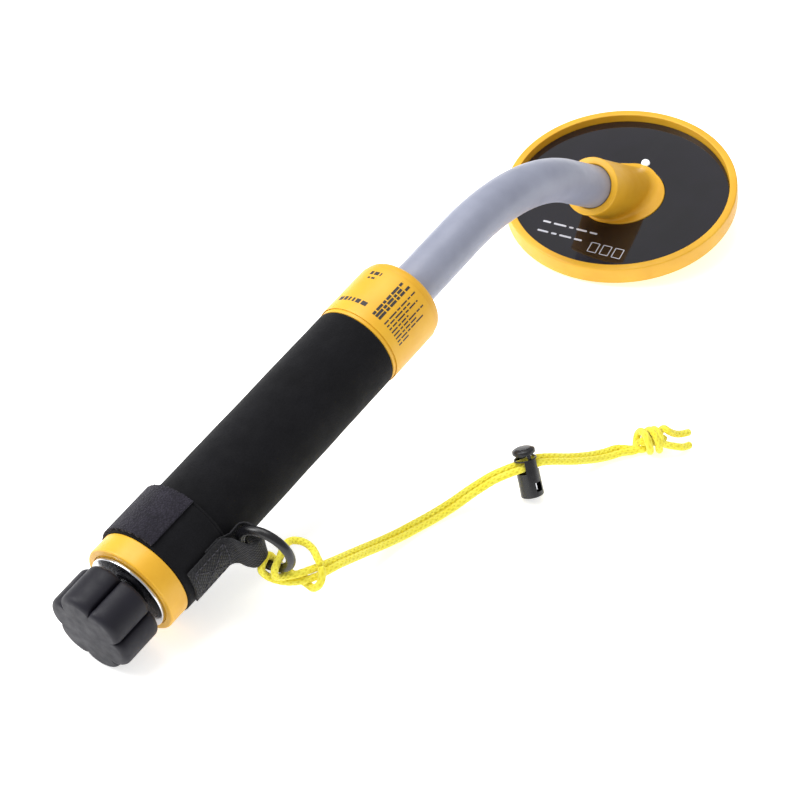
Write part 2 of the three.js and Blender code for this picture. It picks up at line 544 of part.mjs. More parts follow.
function addCordLock(parent) {
  const lock = new THREE.Group();
  lock.position.set(...LOCK_PLACE);
  lock.rotation.set(-LOCK_LEAN, 0, LOCK_TURN, 'ZXY');
  parent.add(lock);

  const slotWidth = 4 * CORD_R + 6 * GAP;
  const slotHeight = 2 * CORD_R + 8 * GAP; // the strands lie level in the leaning lock
  const floor = 2;
  const body = turned([
    [0, 0], [LOCK_R - 0.4, 0], [LOCK_R, 0.4], [LOCK_R, LOCK_TOP - 0.5], [LOCK_R - 0.5, LOCK_TOP],
    [LOCK_BORE, LOCK_TOP], [LOCK_BORE, floor], [0, floor],
  ], 24);
  const through = box(30, slotWidth, slotHeight, [0, 0, LOCK_CORD_Z]);
  const window = box(3.4, 8, 4.6, [1.6, -LOCK_R, 4.8]);
  add(lock, 'cord_lock_body', subtract(body, through, window), BLACK_PLASTIC);

  const springTop = 9.1;
  const springR = 3.7;
  const stemR = LOCK_BORE - 0.25;
  const stemStart = springTop + GAP;
  const capStart = LOCK_TOP + LOCK_TRAVEL + 0.1;
  const plunger = turned([
    [0, stemStart], [stemR, stemStart], [stemR, capStart], [LOCK_R - 0.2, capStart], [LOCK_R, capStart + 0.6],
    [LOCK_R - 0.3, capStart + 1.8], [LOCK_R - 1.8, capStart + 2.6], [0, capStart + 2.8],
  ], 24);
  const pass = box(30, slotWidth, slotHeight + LOCK_TRAVEL, [0, 0, LOCK_CORD_Z + LOCK_TRAVEL / 2]);
  add(lock, 'cord_lock_plunger', subtract(plunger, pass), BLACK_PLASTIC);
  add(lock, 'cord_lock_spring', turned([
    [springR - 0.8, floor + GAP], [springR, floor + GAP], [springR, springTop], [springR - 0.8, springTop],
  ], 16), STEEL);
}

// ---- the whole object -------------------------------------------------------------------------------
const assembly = new THREE.Group();
// everything but the lanyard stands in the handle's own frame: X along its axis, Z off the coil's face
const detector = new THREE.Group();
assembly.add(detector);
addCoilHead(detector);
addShaft(detector);
addHandle(detector);
addPlug(detector);
addElectronics(detector);
addStrap(detector);
detector.rotation.y = -REST_TILT;
// the coil's lowest edge touches z = 0
const lowestEdge = (COIL_S - COIL_FOOT_R) * Math.sin(REST_TILT) - AXIS_HEIGHT * Math.cos(REST_TILT);
detector.position.set(HANDLE_X, 0, -lowestEdge);
addLanyard(assembly);
addCordLock(assembly);

export default assembly;
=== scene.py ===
"""Visual model of a handheld underwater search-coil detector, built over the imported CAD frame.

Places are worked out in millimetres in two frames: the handle's own (s along the handle from the end
ring's rear face, y, and n off the coil's face) and the row frame. MM takes both to metres.
"""
import bpy
import bmesh
import json
import math
from mathutils import Matrix, Vector, noise


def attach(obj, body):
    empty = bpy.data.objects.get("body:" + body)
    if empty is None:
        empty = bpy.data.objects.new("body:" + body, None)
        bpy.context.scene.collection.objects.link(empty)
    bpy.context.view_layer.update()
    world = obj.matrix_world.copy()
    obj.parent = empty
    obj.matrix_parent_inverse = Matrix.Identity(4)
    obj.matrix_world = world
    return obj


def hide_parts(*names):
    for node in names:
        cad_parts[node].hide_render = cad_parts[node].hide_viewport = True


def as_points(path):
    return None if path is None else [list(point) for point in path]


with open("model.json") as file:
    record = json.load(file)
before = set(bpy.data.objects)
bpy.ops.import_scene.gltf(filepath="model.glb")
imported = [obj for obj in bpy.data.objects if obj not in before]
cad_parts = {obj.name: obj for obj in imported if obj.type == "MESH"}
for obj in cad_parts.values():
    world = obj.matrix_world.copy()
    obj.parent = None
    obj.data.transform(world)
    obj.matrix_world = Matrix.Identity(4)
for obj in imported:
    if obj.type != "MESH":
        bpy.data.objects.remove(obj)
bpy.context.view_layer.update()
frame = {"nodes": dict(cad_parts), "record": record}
MM = 0.001

# ---- camera ---------------------------------------------------------------------------------------
camera_data = bpy.data.cameras.new("camera")
camera_data.lens = 104.457
camera_data.sensor_width = 36
camera_data.clip_start = 0.05
camera_data.clip_end = 10
camera = bpy.data.objects.new("camera", camera_data)
bpy.context.scene.collection.objects.link(camera)
camera.location = (-0.7314, -0.53402, 0.72197)
camera.rotation_euler = [math.radians(a) for a in (51.178, 0.182, -53.338)]
bpy.context.scene.camera = camera
bpy.context.scene.view_settings.view_transform = "Standard"

# ---- frames of the handle, the coil and the cord lock ---------------------------------------------
ALONG = Vector((0.980526831, 0, 0.196385168))
ACROSS = Vector((0, 1, 0))
OFF_COIL = Vector((-0.196385168, 0, 0.980526831))
REAR = Vector((-214.13, 0, 25.98592))
COIL_S = 387.886
AXIS_HEIGHT = 91.852


def axes(x, y, z, origin):
    m = Matrix.Identity(4)
    for column, v in enumerate((x, y, z, origin)):
        for row in range(3):
            m[row][column] = v[row]
    return m


HANDLE = axes(ALONG, ACROSS, OFF_COIL, REAR)
COIL = HANDLE @ Matrix.Translation((COIL_S, 0, -AXIS_HEIGHT))
LOCK_TURN = math.radians(-23.6)
LOCK_LEAN = math.radians(25)
LOCK_R = 5.5
LOCK = (
    Matrix.Translation((-35.4, -91, LOCK_R * math.sin(LOCK_LEAN)))
    @ Matrix.Rotation(LOCK_TURN, 4, "Z")
    @ Matrix.Rotation(-LOCK_LEAN, 4, "X")
)
UPRIGHT = axes((0, 0, 1), (0, 1, 0), (-1, 0, 0), (0, 0, 0))  # turns a lathe's axis from X to Z


# ---- materials ------------------------------------------------------------------------------------
def colour(r, g, b):
    """An sRGB colour of 0 to 255 as linear RGBA."""
    def linear(c):
        c /= 255
        return c / 12.92 if c <= 0.04045 else ((c + 0.055) / 1.055) ** 2.4
    return (linear(r), linear(g), linear(b), 1)


class Finish:
    """A Principled material with mottled colour, uneven roughness and bump."""

    def __init__(self, name, dark, light, rough, patch=60, uv=False, **sockets):
        self.material = bpy.data.materials.new(name)
        self.material.use_nodes = True
        self.tree = self.material.node_tree
        self.shader = self.tree.nodes["Principled BSDF"]
        for socket, value in sockets.items():
            self.shader.inputs[socket.replace("_", " ")].default_value = value
        self.coords = self.node("ShaderNodeTexCoord").outputs["UV" if uv else "Object"]
        self.height = None
        mottle = self.noise(patch, 4)
        mix = self.node("ShaderNodeMix", data_type="RGBA")
        self.link(self.span(mottle, 0.3, 0.7, 0, 1), mix.inputs["Factor"])
        mix.inputs["A"].default_value = colour(*dark)
        mix.inputs["B"].default_value = colour(*light)
        self.tint = mix.outputs["Result"]
        self.link(self.span(self.noise(patch * 3.7, 3), 0.3, 0.7, *rough), self.shader.inputs["Roughness"])

    def node(self, kind, **settings):
        node = self.tree.nodes.new(kind)
        for key, value in settings.items():
            setattr(node, key, value)
        return node

    def link(self, a, b):
        self.tree.links.new(a, b)

    def noise(self, scale, detail=2, stretch=None):
        node = self.node("ShaderNodeTexNoise")
        node.inputs["Scale"].default_value = scale
        node.inputs["Detail"].default_value = detail
        source = self.coords
        if stretch:
            mapping = self.node("ShaderNodeMapping")
            mapping.inputs["Scale"].default_value = stretch
            self.link(source, mapping.inputs["Vector"])
            source = mapping.outputs["Vector"]
        self.link(source, node.inputs["Vector"])
        return node.outputs["Fac"]

    def span(self, value, low, high, to_low, to_high):
        node = self.node("ShaderNodeMapRange")
        self.link(value, node.inputs["Value"])
        for socket, number in zip(("From Min", "From Max", "To Min", "To Max"), (low, high, to_low, to_high)):
            node.inputs[socket].default_value = number
        return node.outputs["Result"]

    def math(self, operation, a, b=None):
        node = self.node("ShaderNodeMath", operation=operation)
        for socket, value in zip(node.inputs, (a, b)):
            if hasattr(value, "is_linked"):
                self.link(value, socket)
            elif value is not None:
                socket.default_value = value
        return node.outputs[0]

    def wave(self, across, along):
        """A sine of the UV place, with that many radians for each metre across and along."""
        split = self.node("ShaderNodeSeparateXYZ")
        self.link(self.coords, split.inputs[0])
        u = self.math("MULTIPLY", split.outputs["X"], across)
        v = self.math("MULTIPLY", split.outputs["Y"], along)
        return self.math("SINE", self.math("ADD", u, v))

    def darken(self, factor, shade):
        """Blends the colour towards a darker one where factor is high."""
        mix = self.node("ShaderNodeMix", data_type="RGBA")
        self.link(factor, mix.inputs["Factor"])
        self.link(self.tint, mix.inputs["A"])
        mix.inputs["B"].default_value = colour(*shade)
        self.tint = mix.outputs["Result"]

    def bump(self, height, depth_mm, strength=1.0):
        node = self.node("ShaderNodeBump")
        node.inputs["Distance"].default_value = depth_mm * MM
        node.inputs["Strength"].default_value = strength
        self.link(height, node.inputs["Height"])
        if self.height:
            self.link(self.height, node.inputs["Normal"])
        self.height = node.outputs["Normal"]

    def done(self):
        self.link(self.tint, self.shader.inputs["Base Color"])
        if self.height:
            self.link(self.height, self.shader.inputs["Normal"])
        return self.material


def moulded(name, dark, light, rough, grain=0.02, **sockets):
    """Moulded plastic: faint mottling, a fine grain and slow waviness."""
    f = Finish(name, dark, light, rough, **sockets)
    f.bump(f.noise(2600, 2), grain)
    f.bump(f.noise(90, 1), 0.05, 0.6)
    return f.done()


def scuffed(name, dark, light, rough, **sockets):
    """Plastic with fine handling scratches along the part."""
    f = Finish(name, dark, light, rough, **sockets)
    scratch = f.noise(700, 3, (0.08, 1, 1))
    f.bump(scratch, 0.012, 0.7)
    f.bump(f.noise(2400, 2), 0.008)
    return f.done()


def turned_metal(name, dark, light, rough, **sockets):
    f = Finish(name, dark, light, rough, patch=220, Metallic=1.0, **sockets)
    f.bump(f.noise(1800, 3, (1, 0.2, 1)), 0.01, 0.6)
    return f.done()


def jersey(name, dark, light, rough):
    """The fine knit face of neoprene."""
    f = Finish(name, dark, light, rough, patch=45, Sheen_Weight=0.06, Sheen_Roughness=0.5, Specular_IOR_Level=0.15)
    f.bump(f.noise(1500, 3), 0.16)
    f.bump(f.noise(240, 2), 0.18, 0.5)
    f.darken(f.span(f.noise(1500, 3), 0.45, 0.62, 0.0, 0.45), [c * 0.45 for c in dark])
    return f.done()


def hook_pile(name, dark, light, rough):
    """The nap of a hook-and-loop face."""
    f = Finish(name, dark, light, rough, patch=130, Sheen_Weight=0.15, Sheen_Roughness=0.4, Specular_IOR_Level=0.2)
    cells = f.node("ShaderNodeTexVoronoi")
    cells.inputs["Scale"].default_value = 1150
    f.link(f.coords, cells.inputs["Vector"])
    pile = cells.outputs["Distance"]
    f.darken(f.span(pile, 0.2, 0.7, 0.0, 0.6), [c * 0.5 for c in dark])
    f.bump(pile, 0.4, 0.9)
    return f.done()


def woven(name, dark, light, rough, thread_mm, depth_mm, sheen=0.3):
    """A plain weave laid out in UV metres, with painted shade where the threads dip under."""
    f = Finish(name, dark, light, rough, uv=True, patch=60, Sheen_Weight=sheen, Specular_IOR_Level=0.3)
    turn = math.pi / (thread_mm * MM)
    over = f.math("MULTIPLY", f.wave(turn, 0), f.wave(0, turn))
    height = f.span(over, -1, 1, 0, 1)
    # painted shade: the colour darkens where the weave dips, standing in for shade between the threads
    f.darken(f.span(over, -0.2, -1, 0.0, 0.55), [c * 0.5 for c in dark])
    f.bump(height, depth_mm)
    f.bump(f.noise(9000, 2), 0.04, 0.5)
    return f.done()


def braided(name, dark, light, shade, rough):
    """Yarn along the two ways of a braid, over the tube's own relief, with painted shade in the grooves between the
    yarns.
    """
    f = Finish(name, dark, light, rough, uv=True, patch=90, Sheen_Weight=0.25, Specular_IOR_Level=0.3)
    right = f.wave(2800, 1960)
    left = f.wave(2800, -1960)
    crest = f.math("MAXIMUM", right, left)
    # painted shade: the colour darkens towards the shade colour in the grooves between the yarn crests
    f.darken(f.span(crest, 0.1, -0.8, 0.0, 0.6), shade)
    f.bump(crest, 0.16)
    f.bump(f.noise(12000, 2), 0.05, 0.6)
    return f.done()


FINISHES = {
    "yellow_plastic": moulded("yellow_plastic", (226, 168, 34), (236, 182, 46), (0.34, 0.46)),
    "panel_black": scuffed("panel_black", (13, 11, 19), (20, 17, 28), (0.05, 0.11), Coat_Weight=0.6,
                           Coat_Roughness=0.03),
    # painted glow: the LED lens gets emission so that it glows, though it is no lamp
    "lens_white": moulded("lens_white", (246, 248, 255), (255, 255, 255), (0.12, 0.2), 0.004,
                          Emission_Color=(0.9, 0.95, 1, 1), Emission_Strength=0.5),
    "grey_pvc": scuffed("grey_pvc", (138, 142, 160), (150, 154, 172), (0.32, 0.44)),
    "neoprene": jersey("neoprene", (13, 13, 16), (20, 20, 24), (0.82, 0.95)),
    "label": moulded("label", (230, 173, 38), (238, 184, 48), (0.38, 0.48), 0.006),
    "black_rubber": moulded("black_rubber", (16, 16, 18), (26, 26, 29), (0.6, 0.8), 0.05),
    "steel": turned_metal("steel", (196, 197, 202), (226, 227, 231), (0.1, 0.22)),
    "black_plastic": moulded("black_plastic", (13, 13, 16), (20, 20, 24), (0.2, 0.34), 0.015),
    "knob_rubber": moulded("knob_rubber", (19, 18, 27), (25, 24, 34), (0.46, 0.6), 0.03,
                            Specular_IOR_Level=0.3),
    "brass": turned_metal("brass", (170, 138, 66), (196, 164, 88), (0.25, 0.4)),
    "foam": jersey("foam", (66, 66, 72), (86, 86, 92), (0.9, 1.0)),
    "battery_shell": moulded("battery_shell", (48, 52, 60), (66, 70, 78), (0.3, 0.5)),
    "red_wire": moulded("red_wire", (158, 26, 26), (186, 38, 34), (0.4, 0.6)),
    "copper": turned_metal("copper", (160, 86, 50), (196, 112, 66), (0.3, 0.45)),
    "resin": moulded("resin", (28, 32, 40), (40, 45, 54), (0.3, 0.5)),
    "board": moulded("board", (24, 80, 46), (36, 98, 58), (0.35, 0.5)),
    "hook_fabric": hook_pile("hook_fabric", (38, 36, 45), (50, 47, 58), (0.8, 0.95)),
    # the webbing's weave and the cord's braid get painted shade in their dips; the cord's third colour is that painted
    # shade
    "webbing": woven("webbing", (19, 19, 23), (29, 29, 34), (0.6, 0.8), 1.0, 0.25, 0.1),
    "cord_yellow": braided("cord_yellow", (252, 236, 52), (255, 247, 92), (232, 206, 24), (0.6, 0.8)),
}
THREAD = moulded("stitch_thread", (52, 51, 58), (70, 69, 78), (0.5, 0.7), 0.02)
INK = moulded("print_ink", (48, 44, 44), (62, 57, 56), (0.5, 0.65), 0.004)
PANEL_INK = moulded("panel_ink", (176, 178, 190), (204, 206, 216), (0.4, 0.55), 0.004)


# ---- mesh helpers ---------------------------------------------------------------------------------
def grid(rows, wrap=True, loop=False, girth=0.01):
    """Faces between rows of points. A row of one point is a pole. Gives (points, faces, corner UVs)."""
    points, first = [], []
    for row in rows:
        first.append(len(points))
        points.extend(row)
    faces, uvs, v = [], [], 0.0
    count = len(rows)
    for a in range(count if loop else count - 1):
        b = (a + 1) % count
        row_a, row_b = rows[a], rows[b]
        n = max(len(row_a), len(row_b))
        ahead = v + (row_b[0] - row_a[0]).length
        for j in range(n if wrap else n - 1):
            k = (j + 1) % n
            u, w = girth * j / n, girth * (j + 1) / n
            face, corners = [], []
            for row, start, height, order in ((row_a, first[a], v, (j, k)), (row_b, first[b], ahead, (k, j))):
                if len(row) == 1:
                    face.append(start)
                    corners.append(((u + w) / 2, height))
                else:
                    face.extend(start + i for i in order)
                    corners.extend(((u if i == j else w), height) for i in order)
            faces.append(face)
            uvs.extend(corners)
        v = ahead
    return points, faces, uvs


def build(name, parts, finish, sharp=35):
    """One mesh object from several (points, faces, uvs), in metres."""
    points, faces, uvs = [], [], []
    for part_points, part_faces, part_uvs in parts:
        faces.extend([i + len(points) for i in face] for face in part_faces)
        points.extend(part_points)
        uvs.extend(part_uvs)
    mesh = bpy.data.meshes.new(name)
    mesh.from_pydata([p[:] for p in points], [], faces)
    layer = mesh.uv_layers.new(name="UVMap")
    for corner, uv in zip(layer.data, uvs):
        corner.uv = uv
    bm = bmesh.new()
    bm.from_mesh(mesh)
    bmesh.ops.recalc_face_normals(bm, faces=bm.faces)
    bm.to_mesh(mesh)
    bm.free()
    mesh.shade_smooth()
    mesh.set_sharp_from_angle(angle=math.radians(sharp))
    mesh.materials.append(finish)
    piece = bpy.data.objects.new(name, mesh)
    bpy.context.scene.collection.objects.link(piece)
    return piece


def belongs(piece, body, slot, *nodes):
    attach(piece, body)
    if nodes:
        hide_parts(*nodes)
    return piece


def rounded(profile, radius=0.0, closed=True, steps=5):
    """The profile with each corner eased by its own third number, or by radius."""
    result = []
    n = len(profile)
    for i, point in enumerate(profile):
        ease = point[2] if len(point) > 2 else radius
        here = Vector(point[:2])
        if not ease or (not closed and i in (0, n - 1)):
            result.append(here)
            continue
        before = Vector(profile[i - 1][:2]) - here
        after = Vector(profile[(i + 1) % n][:2]) - here
        bend = before.angle(after)
        reach = min(ease / math.tan(bend / 2), 0.48 * before.length, 0.48 * after.length)
        start, end = here + before.normalized() * reach, here + after.normalized() * reach
        for k in range(steps + 1):
            t = k / steps
            result.append(start * (1 - t) ** 2 + here * (2 * t * (1 - t)) + end * t ** 2)
    return result


def ring_row(frame_, s, radius, count):
    """A circle about the frame's X axis, from its Z axis towards -Y. radius may be a function of the angle."""
    row = []
    for j in range(count):
        angle = 2 * math.pi * j / count
        r = radius(angle) if callable(radius) else radius
        row.append(frame_ @ Vector((s, -r * math.sin(angle), r * math.cos(angle))) * MM)
    return row


def lathe(profile, frame_, count=112, closed=True, uneven=0.0):
    """profile is (s, radius) pairs; a radius of 0 is a pole. uneven pushes the surface about, in mm."""
    rows = []
    biggest = max(p[1] for p in profile)
    for s, r in profile:
        if r < 1e-6:
            rows.append([frame_ @ Vector((s, 0, 0)) * MM])
        elif uneven:
            def wobble(angle, s=s, r=r):
                place = Vector((s * 0.055, math.cos(angle) * 1.4, math.sin(angle) * 1.4))
                return r + uneven * noise.noise(place)
            rows.append(ring_row(frame_, s, wobble, count))
        else:
            rows.append(ring_row(frame_, s, r, count))
    return grid(rows, True, closed, 2 * math.pi * biggest * MM)


def along(start, end, step):
    count = max(1, round(abs(end - start) / step))
    return [start + (end - start) * i / count for i in range(count + 1)]


def dense(profile, step=3.0, closed=True):
    """Adds points along the profile's long straight runs."""
    result = []
    n = len(profile)
    for i in range(n if closed else n - 1):
        a, b = Vector(profile[i]), Vector(profile[(i + 1) % n])
        count = max(1, math.ceil((b - a).length / step))
        result.extend(a + (b - a) * k / count for k in range(count))
    if not closed:
        result.append(Vector(profile[-1]))
    return result


def cut(piece, *tools, operation="DIFFERENCE"):
    """Boolean with other objects, which are then removed."""
    for tool in tools:
        modifier = piece.modifiers.new("cut", "BOOLEAN")
        modifier.operation = operation
        modifier.solver = "EXACT"
        modifier.object = tool
    bpy.context.view_layer.update()
    graph = bpy.context.evaluated_depsgraph_get()
    mesh = bpy.data.meshes.new_from_object(piece.evaluated_get(graph))
    piece.modifiers.clear()
    piece.data = mesh
    mesh.shade_smooth()
    mesh.set_sharp_from_angle(angle=math.radians(30))
    for tool in tools:
        bpy.data.objects.remove(tool)
    return piece


def block(frame_, size, centre):
    """A box to cut with, in mm in a frame."""
    half = [d / 2 for d in size]
    rows = []
    for x in (-1, 1):
        rows.append([
            frame_ @ Vector((centre[0] + x * half[0], centre[1] + y * half[1], centre[2] + z * half[2])) * MM
            for y, z in ((-1, -1), (1, -1), (1, 1), (-1, 1))
        ])
    points, faces, uvs = grid(rows)
    faces += [[0, 1, 2, 3], [4, 5, 6, 7]]
    uvs += [(0, 0)] * 8
    return build("tool", [(points, faces, uvs)], INK)


def smooth_path(points, step):
    """A Catmull-Rom line through the points, at even steps, in mm."""
    pts = [Vector(p) for p in points]
    pts = [pts[0] * 2 - pts[1]] + pts + [pts[-1] * 2 - pts[-2]]
    line = []
    for i in range(1, len(pts) - 2):
        p0, p1, p2, p3 = pts[i - 1:i + 3]
        t1 = (p1 - p0).length ** 0.5
        t2 = t1 + (p2 - p1).length ** 0.5
        t3 = t2 + (p3 - p2).length ** 0.5
        for k in range(16):
            t = t1 + (t2 - t1) * k / 16
            a1 = p0 * ((t1 - t) / t1) + p1 * (t / t1)
            a2 = p1 * ((t2 - t) / (t2 - t1)) + p2 * ((t - t1) / (t2 - t1))
            a3 = p2 * ((t3 - t) / (t3 - t2)) + p3 * ((t - t2) / (t3 - t2))
            b1 = a1 * ((t2 - t) / t2) + a2 * (t / t2)
            b2 = a2 * ((t3 - t) / (t3 - t1)) + a3 * ((t - t1) / (t3 - t1))
            line.append(b1 * ((t2 - t) / (t2 - t1)) + b2 * ((t - t1) / (t2 - t1)))
    line.append(pts[-2])
    total = sum((b - a).length for a, b in zip(line, line[1:]))
    count = max(2, round(total / step))
    result, walked, target = [line[0]], 0.0, total / count
    for a, b in zip(line, line[1:]):
        span = (b - a).length
        while span > 0 and walked + span >= target * len(result) - 1e-9 and len(result) <= count:
            result.append(a.lerp(b, (target * len(result) - walked) / span))
        walked += span
    if len(result) <= count:
        result.append(line[-1])
    return result, total


def frames_along(line):
    """(point, side, up) at each point, turned as little as can be from one to the next."""
    up = Vector((0, 0, 1))
    for i, point in enumerate(line):
        ahead = line[min(i + 1, len(line) - 1)] - line[max(i - 1, 0)]
        ahead.normalize()
        up = (up - ahead * up.dot(ahead)).normalized()
        yield point, ahead.cross(up), up


def sweep(line, radius, count, relief=None, round_ends=0.0):
    """A tube along the line, in mm. relief(angle, distance) is added to the radius."""
    rows, walked, last = [], 0.0, None
    total = sum((b - a).length for a, b in zip(line, line[1:]))
    for point, side, up in frames_along(line):
        walked += (point - last).length if last else 0.0
        last = point
        shrink = 1.0
        if round_ends:
            near = min(walked, total - walked)
            if near < round_ends:
                shrink = max(0.15, math.sqrt(max(0.0, 1 - (1 - near / round_ends) ** 2)))
        row = []
        for j in range(count):
            angle = 2 * math.pi * j / count
            r = radius * shrink + (relief(angle, walked) * shrink if relief else 0)
            row.append((point + side * (r * math.cos(angle)) + up * (r * math.sin(angle))) * MM)
        rows.append(row)
    rows.insert(0, [line[0] * MM])
    rows.append([line[-1] * MM])
    return grid(rows, True, False, 2 * math.pi * radius * MM)


# ---- lanyard: one cord doubled over the tether ring, in two strands ---------------------------------
CORD_R = 1.8
CORD_GAP = 0.15
# the middle between the strands, as in part.mjs
LANYARD = [
    (-146.8, -55.8, 20.6), (-140.2, -56.2, 18.2), (-131.8, -56.1, 15), (-119.6, -56.2, 10.4),
    (-108, -56.9, 6.6), (-97, -58.2, 4), (-86, -59.9, 2.6), (-75.6, -62.2, 2.2), (-65.4, -65.8, 4.2),
    (-55.2, -70.7, 8.8), (-46.4, -76.6, 13.8), (-39.4, -82, 16.3), (-32.9, -85, 16.4),
    (-26.2, -88, 16.2), (-18.4, -91.6, 13.2), (-10, -95.4, 9.4), (-0.6, -99, 5.6), (8.4, -102.6, 3),
    (15.2, -106.4, 3),
]
RING_CENTRE = Vector((-168.6, -39.4, 37.9))
RING_NORMAL = Vector((-0.958, -0.149, -0.243)).normalized()
RING_R = 12.5
WIRE_R = 2.2
# from the middle of the bight round to where each strand joins the pair
BIGHT_A = [
    (-152.6, -57.2, 25.6), (-150.4, -53.2, 27.4), (-148.5, -49.2, 28.7), (-149, -45, 30.6),
    (-152.9, -41.2, 32.4), (-158.4, -41.4, 33.2), (-163.4, -43.2, 31.9), (-167.2, -44, 30.3),
    (-169.2, -44.3, 26.9), (-168, -44.7, 23.9), (-164.8, -46.2, 22.6), (-160.4, -49.8, 22.6),
    (-154, -52.6, 22.2),
]
BIGHT_B = [
    (-152.6, -57.2, 25.6), (-155.2, -59.8, 23.6), (-157.6, -60.2, 20.4), (-158.4, -57.4, 17),
    (-157, -52.4, 15.7), (-157.4, -46.4, 17.4), (-159.6, -41.2, 21.4), (-161.8, -38.2, 26.4),
    (-164.2, -37.2, 29.9), (-167.4, -37.2, 29.6), (-169.9, -37.4, 26), (-169, -38, 22.9),
    (-167.2, -40.6, 20.3), (-164, -45.4, 18.5), (-160, -50.6, 18.6), (-154.6, -55.2, 19.6),
]
KNOT = Vector((27.5, -117.4, 6.8))
KNOT_AXIS = Vector((0.75, -0.66, 0)).normalized()
KNOT_SIDE = Vector((0.66, 0.75, 0)).normalized()
KNOT_R = 4.7


def pair_side(side):
    """One strand's line beside the pair's middle."""
    middle, _ = smooth_path(LANYARD, 6.0)
    result = []
    for i, point in enumerate(middle):
        ahead = middle[min(i + 1, len(middle) - 1)] - middle[max(i - 1, 0)]
        flat = Vector((-ahead.y, ahead.x, 0)).normalized()
        result.append(point + flat * side * (CORD_R + CORD_GAP))
    return result


def knot_turns(first, last, turns):
    """Round the knot from below, moving along its axis from first to last."""
    result = []
    count = round(turns * 10)
    for i in range(count + 1):
        t = i / count
        angle = 2 * math.pi * turns * t
        r = KNOT_R + 0.5 * math.sin(math.pi * t)
        place = KNOT + KNOT_AXIS * (first + (last - first) * t)
        result.append(place + KNOT_SIDE * (r * math.sin(angle)) - Vector((0, 0, r * math.cos(angle))))
    return result


STRANDS = {
    "a": [*BIGHT_A, *pair_side(1)[1:], *knot_turns(-3.6, 7.4, 1.5),
          (37.4, -123.6, 7.4), (41.9, -125, 4.8), (47.4, -127, 3.4)],
    "b": [*BIGHT_B, *pair_side(-1)[1:], *knot_turns(-7.6, 3.6, 1.7),
          (32.4, -129, 5.2), (36.4, -130.3, 3), (40.8, -131.6, 2.2)],
}


def braid_relief(angle, distance):
    way = 1.96 * distance
    return 0.07 * (max(math.sin(5 * angle + way), math.sin(5 * angle - way)) - 0.4)


knot_core = build("knot_core", [lathe(
    [(7.6 * math.sin(a), 2.9 * math.cos(a) if abs(a) < 1.57 else 0)
     for a in [math.pi * (i / 24 - 0.5) for i in range(25)]],
    axes(KNOT_AXIS, KNOT_SIDE, (0, 0, 1), KNOT), 48, False, 0.3)], FINISHES["cord_yellow"])
belongs(knot_core, "lanyard", "cord_yellow", "stopper_knot")

strands = {}
for letter, points in STRANDS.items():
    line, total = smooth_path(points, 0.42)
    strand = build(
        "lanyard_cord_" + letter, [sweep(line, CORD_R - 0.05, 24, braid_relief, 1.2)], FINISHES["cord_yellow"], 70
    )
    nodes = ["lanyard_strand_" + letter, "lanyard_tail_" + letter] + (["lanyard_hitch"] if letter == "a" else [])
    belongs(strand, "lanyard", "cord_yellow", *nodes)
    strands[letter] = (strand, line, total)

# ---- tether ring ------------------------------------------------------------------------------------
ring_side = RING_NORMAL.orthogonal().normalized()
ring_frame = axes(RING_NORMAL, ring_side, RING_NORMAL.cross(ring_side), RING_CENTRE)
wire = [(WIRE_R * math.sin(2 * math.pi * i / 24), RING_R + WIRE_R * math.cos(2 * math.pi * i / 24)) for i in range(24)]
tether = build("tether_ring_visual", [lathe(wire, ring_frame, 120, True, 0.06)], FINISHES["black_plastic"])
belongs(tether, "lanyard", "black_plastic", "tether_ring")

# ---- coil head --------------------------------------------------------------------------------------
HEAD = COIL @ UPRIGHT
housing = build("coil_housing_visual", [lathe(rounded([
    (0, 0), (0, 61.2, 1.2), (1.6, 63, 1.0), (11.4, 63, 1.0), (11.4, 58.8, 0.6), (4.7, 58.8, 0.2), (4.7, 57),
    (2, 57, 1.0), (2, 0),
], closed=False), HEAD, 160, False)], FINISHES["yellow_plastic"])
belongs(housing, "detector", "yellow_plastic", "coil_housing")

LED_PLACE = (26.9, 0.9)
LED_R = 2.4
panel = build("coil_panel_visual", [lathe(rounded([
    (5, 24.1), (5, 58.5), (7, 58.5, 0.3), (7, 24.1, 0.2),
]), HEAD, 160)], FINISHES["panel_black"])
led_axis = COIL @ Matrix.Translation((*LED_PLACE, 0)) @ UPRIGHT
hole = build("tool", [lathe([(3, 0), (3, LED_R + 0.12), (9, LED_R + 0.12), (9, 0)], led_axis, 40, False)], INK)
cut(panel, hole)
belongs(panel, "detector", "panel_black", "coil_panel")
dome = [(7.0 + 2.0 * math.sin(a), LED_R * math.cos(a)) for a in [math.pi / 2 * i / 12 for i in range(12)]]
lens = build("led_lens_visual", [lathe([(5, 0), (5, LED_R), *dome, (9.0, 0)], led_axis, 48, False)],
             FINISHES["lens_white"])
belongs(lens, "detector", "lens_white", "led_lens")

# the socket leans back at 45 degrees from the boss, and flares where it meets it
BOSS_TOP = 7.4
HUB_R = 15.3
HUB_LENGTH = 38
HUB_FILLET = 3.2
LEAN = math.pi / 4
hub_axis = Vector((-math.sin(LEAN), 0, math.cos(LEAN)))
hub_side = Vector((math.cos(LEAN), 0, math.sin(LEAN)))
boss = build("hub_socket_visual", [lathe(rounded([
    (5, 0), (5, 23.8), (BOSS_TOP, 23.8, 0.5), (BOSS_TOP, 0),
], closed=False), HEAD, 128, False)], FINISHES["yellow_plastic"])


def hub_row(height, flare):
    """Where the socket's wall is at a height above the boss, pushed out by flare."""
    row = []
    for j in range(96):
        angle = 2 * math.pi * j / 96
        off = hub_side * (HUB_R * math.cos(angle)) + Vector((0, HUB_R * math.sin(angle), 0))
        t = (height - off.z) / hub_axis.z
        out = Vector((off.x + hub_axis.x * t - hub_axis.x * height / hub_axis.z, off.y, 0)).normalized()
        row.append(COIL @ (off + hub_axis * t + out * flare + Vector((0, 0, BOSS_TOP))) * MM)
    return row


